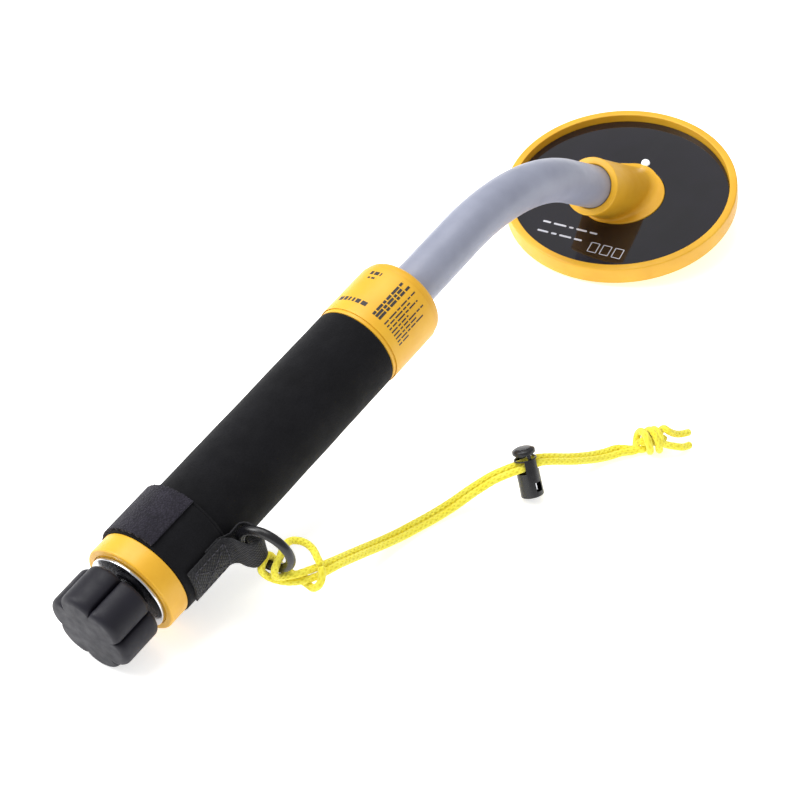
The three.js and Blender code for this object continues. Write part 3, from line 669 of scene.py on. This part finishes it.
hub_rows = [[COIL @ Vector((0, 0, BOSS_TOP - 1.4)) * MM], hub_row(-1.4, HUB_FILLET)]
for i in range(9):
    a = math.pi / 2 * i / 8
    hub_rows.append(hub_row(HUB_FILLET * (1 - math.cos(a)), HUB_FILLET * (1 - math.sin(a))))


def mouth_row(t, radius):
    row = []
    for j in range(96):
        angle = 2 * math.pi * j / 96
        off = hub_side * (radius * math.cos(angle)) + Vector((0, radius * math.sin(angle), 0))
        row.append(COIL @ (off + hub_axis * t + Vector((0, 0, BOSS_TOP))) * MM)
    return row


for t, r in ((24, HUB_R), (HUB_LENGTH - 1.9, HUB_R), (HUB_LENGTH - 1.5, HUB_R + 0.25), (HUB_LENGTH - 0.5, HUB_R + 0.25),
             (HUB_LENGTH - 0.15, HUB_R), (HUB_LENGTH, HUB_R - 0.4), (HUB_LENGTH, 12.3), (HUB_LENGTH - 0.5, 11.7),
             (HUB_LENGTH - 21.3, 11.7)):
    hub_rows.append(mouth_row(t, r))
hub_rows.append([COIL @ (hub_axis * (HUB_LENGTH - 21.3) + Vector((0, 0, BOSS_TOP))) * MM])
hub = build("tool", [grid(hub_rows, girth=2 * math.pi * HUB_R * MM)], FINISHES["yellow_plastic"])
cut(boss, hub, operation="UNION")
belongs(boss, "detector", "yellow_plastic", "hub_socket")


def bar(frame_, x, y, z, length, width, turn=0.0, thick=0.06):
    """A printed dash: a thin rounded bar lying in the frame's XY plane."""
    c, s = math.cos(turn), math.sin(turn)
    outline = []
    for i in range(16):
        a = 2 * math.pi * i / 16
        px = math.copysign(length / 2 - width / 2, math.cos(a)) + width / 2 * math.cos(a)
        py = width / 2 * math.sin(a)
        outline.append((x + px * c - py * s, y + px * s + py * c))
    rows = [[frame_ @ Vector((px, py, z + h)) * MM for px, py in outline] for h in (0, thick)]
    points, faces, uvs = grid(rows, girth=length * MM)
    faces += [list(range(16)), list(range(16, 32))]
    uvs += [(0, 0)] * 32
    return points, faces, uvs


# generic dashes and outlined squares where the photograph has small print and figures
SLANT = 0.17  # the lines run across the panel, a little forward
print_turn = math.atan2(-1, SLANT)
dashes = []
for x0, y, widths in ((-38.2, 25, (4.6, 7.4, 2.6, 6.2, 4.4)), (-45.4, 24, (6.4, 3.2, 7.0, 4.6))):
    start = y
    for width in widths:
        middle = y - width / 2
        dashes.append(bar(COIL, x0 + SLANT * (start - middle), middle, 7.01, width, 1.3, print_turn))
        y -= width + 1.5
for i in range(3):
    x, y = -42.4 + 1.2 * i, -10 - 6.8 * i
    for side in (-2.3, 2.3):
        dashes.append(bar(COIL, x - SLANT * side, y + side, 7.01, 7.2, 0.5, print_turn + math.pi / 2))
    for side in (-3.4, 3.4):
        dashes.append(bar(COIL, x + side, y + SLANT * side, 7.01, 4.8, 0.5, print_turn))
print_marks = build("panel_print", dashes, PANEL_INK)
belongs(print_marks, "detector", "panel_black")

# ---- shaft ------------------------------------------------------------------------------------------
BEND_START = 250
BEND_R = 129
shaft_line = [Vector((s, 0, 0)) for s in along(186, BEND_START, 4)]
for i in range(1, 41):
    a = math.pi / 4 * i / 40
    shaft_line.append(Vector((BEND_START + BEND_R * math.sin(a), 0, -BEND_R * (1 - math.cos(a)))))
bend_end, down = shaft_line[-1], Vector((math.sin(LEAN), 0, -math.cos(LEAN)))
shaft_line += [bend_end + down * d for d in along(0, 49, 4)[1:]]


def tube_rows(radius, count=96):
    rows = []
    for i, point in enumerate(shaft_line):
        ahead = (shaft_line[min(i + 1, len(shaft_line) - 1)] - shaft_line[max(i - 1, 0)]).normalized()
        up = Vector((-ahead.z, 0, ahead.x))
        rows.append([
            HANDLE @ (point + up * (radius * math.cos(2 * math.pi * j / count))
                      + Vector((0, -radius * math.sin(2 * math.pi * j / count), 0))) * MM
            for j in range(count)
        ])
    return rows


shaft = build("shaft_tube_visual", [grid(tube_rows(11.4) + tube_rows(9.4)[::-1], True, True, 0.0716)],
              FINISHES["grey_pvc"])
belongs(shaft, "detector", "grey_pvc", "shaft_tube")

# ---- handle -----------------------------------------------------------------------------------------
collar = build("front_collar_visual", [lathe(dense(rounded([
    (165, 20.3), (165, 22, 0.5), (204, 22, 5.4), (204, 11.7, 0.5), (201.6, 11.7), (201.6, 13.7), (199, 13.7),
    (199, 11.7), (194.3, 11.7), (194.3, 20.3),
], steps=8)), HANDLE, 128)], FINISHES["yellow_plastic"])
belongs(collar, "detector", "yellow_plastic", "front_collar")
rear_ring = build("rear_ring_visual", [lathe(rounded([
    (0, 20.3), (0, 23.5, 1.0), (11, 23.5, 0.7), (11, 20.3),
]), HANDLE, 128)], FINISHES["yellow_plastic"])
belongs(rear_ring, "detector", "yellow_plastic", "rear_ring")
sleeve = build("neoprene_sleeve_visual", [lathe(dense(rounded([
    (11.3, 20.3), (11.3, 22.05, 0.7), (164.7, 22.05, 0.7), (164.7, 20.3),
])), HANDLE, 128, True, 0.16)], FINISHES["neoprene"])
belongs(sleeve, "detector", "neoprene", "neoprene_sleeve")


def arc_band(s0, s1, r0, r1, start, end, fray=0.0, step=1.5):
    """A thin band round the handle between two angles, with edges that wander by fray, in mm."""
    rows = []
    angles = along(start, end, step)
    plain = dense(rounded([(s0, r0), (s0, r1, 0.3), (s1, r1, 0.3), (s1, r0)], steps=3), 2.0)
    for i, degrees in enumerate(angles):
        a = math.radians(degrees)
        ragged = fray * noise.noise(Vector((degrees * 0.9, 3.1, 0)))
        ragged_far = fray * noise.noise(Vector((degrees * 0.9, 9.7, 0)))
        section = []
        for p in plain:
            t = (p.x - s0) / (s1 - s0)
            section.append(Vector((p.x + ragged * (1 - t) ** 4 + ragged_far * t ** 4, p.y)))
        if i in (0, len(angles) - 1):
            mid = (r0 + r1) / 2
            section = [Vector((p.x, mid + (p.y - mid) * 0.6)) for p in section]
        row = []
        for p in section:
            turn = a
            if i in (0, len(angles) - 1):
                turn += fray * 0.03 * noise.noise(Vector((p.x * 1.7, degrees, 5)))
            row.append(HANDLE @ Vector((p.x, -p.y * math.sin(turn), p.y * math.cos(turn))) * MM)
        rows.append(row)
    for end_row, at in ((rows[0], 0), (rows[-1], len(rows))):
        middle = sum(end_row, Vector()) / len(end_row)
        rows.insert(0 if at == 0 else len(rows), [middle])
    return grid(rows, True, False, 2 * (s1 - s0) * MM)


LABEL_R = (22.3, 22.55)
label = build("collar_label_visual", [arc_band(167, 198, *LABEL_R, -75, 150, 0.0, 2.0)], FINISHES["label"])
belongs(label, "detector", "label", "collar_label")


def round_bar(s, degrees, length, width, radius):
    """A dash printed on the collar: length along the handle, width round it, in mm."""
    rows = []
    for h in (0.0, 0.06):
        row = []
        for x, w in ((-0.5, -0.5), (-0.5, 0.5), (0.5, 0.5), (0.5, -0.5)):
            a = math.radians(degrees) + w * width / radius
            r = radius + h
            row.append(HANDLE @ Vector((s + x * length, -r * math.sin(a), r * math.cos(a))) * MM)
        rows.append(row)
    points, faces, uvs = grid(rows, girth=length * MM)
    faces += [[0, 1, 2, 3], [4, 5, 6, 7]]
    uvs += [(0, 0)] * 8
    return points, faces, uvs


def word_row(s, start, end, height, widths):
    """Dashes of these widths in degrees, one after another round the collar."""
    marks, at, i = [], start, 0
    while at < end:
        w = min(widths[i % len(widths)], end - at)
        marks.append(round_bar(s, at + w / 2, height, math.radians(w) * LABEL_R[1], LABEL_R[1]))
        at += w + 2.2
        i += 1
    return marks


marks = word_row(193.6, -23, -6, 2.2, (4.5, 6.5)) + word_row(190.2, -21, -8, 1.2, (3.5, 5.0))
marks += word_row(174.5, -36, 8, 2.6, (7.5, 5.0, 9.0, 6.0))
text_rows = [(22, 172, 196, 1.3), (26.5, 172, 193, 1.3), (31, 172, 196, 1.3)]
text_rows += [(40 + 4.6 * i, 172, (196, 190, 194, 185, 195, 188, 192, 180)[i], 0.7) for i in range(8)]
for degrees, start, end, width in text_rows:
    at, i = start, int(degrees)
    while at < end:
        length = min((3.2, 5.4, 2.2, 4.4, 1.8)[i % 5], end - at)
        marks.append(round_bar(at + length / 2, degrees, length, width, LABEL_R[1]))
        at += length + 0.8
        i += 1
printed = build("collar_print", marks, INK)
belongs(printed, "detector", "label")

# ---- plug, washer and knob --------------------------------------------------------------------------
washer = build("outer_washer_visual", [lathe(rounded([
    (-1.9, 3.4, 0.15), (-1.9, 19.8, 0.5), (-0.3, 19.8, 0.3), (-0.3, 3.4),
]), HANDLE, 128)], FINISHES["steel"])
belongs(washer, "plug", "steel", "outer_washer")

KNOB_CREST = math.radians(46)
KNOB_LOBE_R = 21.6
KNOB_VALLEY_R = 17.8
SLIT_DEPTH = 1.3
SLIT_WIDTH = 0.034


def knob_row(s, inset, slit):
    def radius(angle):
        wave = abs(math.cos(3 * (angle - KNOB_CREST)))
        lobe = KNOB_VALLEY_R + (KNOB_LOBE_R - KNOB_VALLEY_R) * math.sqrt(wave)
        away = math.asin(min(1, wave)) / 3
        return lobe - inset - slit * SLIT_DEPTH * math.exp(-(away / SLIT_WIDTH) ** 2)
    return ring_row(HANDLE, s, radius, 360)


knob_rows = [[HANDLE @ Vector((-28.5, 0, 0)) * MM]]
KNOB_DOME = 0.35
for i in range(1, 8):
    knob_rows.append(ring_row(HANDLE, -28.5 + KNOB_DOME * (i / 8) ** 2, 16.268 * i / 8, 360))
EDGE = 3.2
for i in range(9):
    a = math.pi / 2 * i / 8
    knob_rows.append(knob_row(-28.15 + EDGE * (1 - math.cos(a)), EDGE * (1 - math.sin(a)) + 0.02, i / 8 * 0.5))
for s in along(-24.2, -9.4, 1.2):
    knob_rows.append(knob_row(s, 0.0, 1.0))
for i in range(7):
    a = math.pi / 2 * i / 6
    knob_rows.append(knob_row(-5.8 - 2.6 * (1 - math.sin(a)), 2.6 * (1 - math.cos(a)), 1 - i / 6))
for s, r in ((-5.8, 11.5), (-5.7, 9.8), (-5.2, 9.6), (-4, 9.6), (-3.5, 9.1), (-3.5, 5.2), (-16.3, 5.2), (-16.3, 3.3),
             (-23, 3.3)):
    knob_rows.append(ring_row(HANDLE, s, r, 360))
knob_rows.append([HANDLE @ Vector((-23, 0, 0)) * MM])
knob = build("clamp_knob_visual", [grid(knob_rows, True, False, 0.136)], FINISHES["knob_rubber"], 60)
belongs(knob, "knob", "knob_rubber", "clamp_knob")

# ---- strap, hook end, webbing and stitching ---------------------------------------------------------
band = build("strap_band_visual", [lathe(dense(rounded([
    (11.4, 22.35), (11.4, 24, 0.6), (38.9, 24.0, 0.3), (39.3, 23.75, 0.2), (39.7, 24.0, 0.3), (40.8, 24, 0.5),
    (40.8, 22.35),
], steps=3), 1.5), HANDLE, 128, True, 0.25)], FINISHES["neoprene"])
belongs(band, "detector", "neoprene", "strap_band")
hook = build("strap_hook_end_visual", [arc_band(11.9, 40.3, 24.25, 25.5, -125, 20, 0.7, 1.0)],
             FINISHES["hook_fabric"])
belongs(hook, "detector", "hook_fabric", "strap_hook_end")

WEB_THICK = 1.15
WEB_LINE = [
    (14.6, -25.55), (20, -25.55), (27, -25.55), (34, -25.55), (38.6, -25.8), (40.4, -28.2), (40.7, -32), (42, -36),
    (45, -37.7), (48.6, -37.4), (50.8, -34.4), (51.5, -30), (51.1, -26), (49.2, -23.9), (45.6, -23.8),
    (42.2, -24.0), (38.4, -24.35), (33, -24.4), (28, -24.4),
]
WEB_LOW = -8.2
WEB_HIGH = 10.2


def hugging(s):
    """How far the webbing follows the strap's curve: all of it where it is sewn, none at its loop."""
    return min(1.0, max(0.0, (43 - s) / 6))


web_line, _ = smooth_path([(s, y, 0) for s, y in WEB_LINE], 0.8)
web_rows = []
for i, point in enumerate(web_line):
    ahead = (web_line[min(i + 1, len(web_line) - 1)] - web_line[max(i - 1, 0)]).normalized()
    out = Vector((ahead.y, -ahead.x, 0))
    narrow = 1.6 * (1 - hugging(point.x))
    row = []
    for side in (1, -1):
        heights = along(WEB_LOW + narrow, WEB_HIGH - narrow, 1.1)
        for h in heights if side == 1 else heights[::-1]:
            curl = (24.6 - math.sqrt(24.6 ** 2 - h * h)) * hugging(point.x)
            edge = min(h - heights[0], heights[-1] - h)
            thick = WEB_THICK * (0.62 if edge < 0.5 else 1.0)
            rib = 0.05 * math.sin(h * 5.2 + i * 1.6)
            place = point + out * side * (thick / 2 + rib) + Vector((0, curl, h))
            row.append(HANDLE @ place * MM)
    web_rows.append(row)
for at in (0, len(web_rows) - 1):
    middle = sum(web_rows[at], Vector()) / len(web_rows[at])
    web_rows.insert(0 if at == 0 else len(web_rows), [middle])
webbing = build("webbing_loop_visual", [grid(web_rows, True, False, 0.038)], FINISHES["webbing"], 50)
belongs(webbing, "detector", "webbing", "webbing_loop")


def stitch(a, b):
    """One thread stitch between two (s, n) places on the sewn tab."""
    line = []
    for k in range(7):
        t = k / 6
        s, h = a[0] + (b[0] - a[0]) * t, a[1] + (b[1] - a[1]) * t
        curl = 24.6 - math.sqrt(24.6 ** 2 - h * h)
        lift = 0.18 * math.sin(math.pi * t)
        line.append(HANDLE @ Vector((s, -25.55 - WEB_THICK / 2 - lift + curl, h)))
    return sweep(line, 0.26, 8, None, 0.5)


def stitch_run(a, b):
    length = math.dist(a, b)
    count = round(length / 2.9)
    runs = []
    for i in range(count):
        t0, t1 = (i + 0.12) / count, (i + 0.88) / count
        runs.append(stitch([p + (q - p) * t0 for p, q in zip(a, b)], [p + (q - p) * t1 for p, q in zip(a, b)]))
    return runs


corners = [(17, -6), (37, -6), (37, 8), (17, 8)]
stitches = []
for a, b in zip(corners, corners[1:] + corners[:1]):
    stitches += stitch_run(a, b)
stitches += stitch_run(corners[0], corners[2]) + stitch_run(corners[1], corners[3])
stitching = build("webbing_stitching", stitches, THREAD)
belongs(stitching, "detector", "webbing")

# ---- cord lock --------------------------------------------------------------------------------------
BARREL = LOCK @ UPRIGHT
SLOT_WIDTH = 9.0
SLOT_HEIGHT = 6.0
CORD_Z = 15.2
barrel = build("cord_lock_body_visual", [lathe(rounded([
    (0, 0), (0, LOCK_R, 0.6), (18.8, LOCK_R, 0.5), (18.8, 4.85, 0.15), (2, 4.85), (2, 0),
], closed=False), BARREL, 80, False)], FINISHES["black_plastic"])
cut(barrel, block(LOCK, (30, SLOT_WIDTH, SLOT_HEIGHT), (0, 0, CORD_Z)), block(LOCK, (3.4, 8, 4.6), (1.6, -LOCK_R, 4.8)))
belongs(barrel, "cord_lock", "black_plastic", "cord_lock_body")
plunger = build("cord_lock_plunger_visual", [lathe(rounded([
    (9.4, 0), (9.4, 4.6, 0.3), (21.3, 4.6), (21.3, 5.5, 0.3), (23.0, 5.5, 0.8), (23.9, 3.6, 1.5), (24.1, 0),
], closed=False), BARREL, 80, False)], FINISHES["black_plastic"])
cut(plunger, block(LOCK, (30, SLOT_WIDTH, SLOT_HEIGHT + 2.4), (0, 0, CORD_Z + 1.2)))
belongs(plunger, "lock_plunger", "black_plastic", "cord_lock_plunger")

for letter, (strand, line, total) in strands.items():
    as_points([p * MM for p in line[:-2:4]] + [line[-1] * MM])

# ---- the CAD nodes that stay ------------------------------------------------------------------------
slots = {row["node"]: row["material_slot"] for row in frame["record"]["subparts"]}
for node, thing in frame["nodes"].items():
    if not thing.data.materials:
        thing.data.materials.append(None)
    for i in range(len(thing.material_slots)):
        thing.material_slots[i].material = FINISHES[slots[node]]

# ---- floor, world and lights ------------------------------------------------------------------------
floor_mesh = bpy.data.meshes.new("floor")
floor_mesh.from_pydata([(-3, -3, 0), (3, -3, 0), (3, 3, 0), (-3, 3, 0)], [], [(0, 1, 2, 3)])
floor = bpy.data.objects.new("floor", floor_mesh)
bpy.context.scene.collection.objects.link(floor)
floor.location.z = -0.0004
floor_mesh.materials.append(moulded("floor", (252, 252, 252), (255, 255, 255), (0.7, 0.8), 0.001,
                                     Emission_Color=(1, 1, 1, 1), Emission_Strength=0.6))

world = bpy.data.worlds.new("studio")
bpy.context.scene.world = world
world.use_nodes = True
world.node_tree.nodes["Background"].inputs["Color"].default_value = (1, 1, 1, 1)
world.node_tree.nodes["Background"].inputs["Strength"].default_value = 0.55


def lamp(name, place, size, power):
    data = bpy.data.lights.new(name, "AREA")
    data.shape = "SQUARE"
    data.size = size
    data.energy = power
    light = bpy.data.objects.new(name, data)
    bpy.context.scene.collection.objects.link(light)
    light.location = place
    light.rotation_euler = (-Vector(place)).to_track_quat("-Z", "Y").to_euler()


lamp("top_light", (0.0, 0.5, 1.5), 1.2, 16)
lamp("side_light", (-0.9, 1.1, 1.1), 0.9, 17)
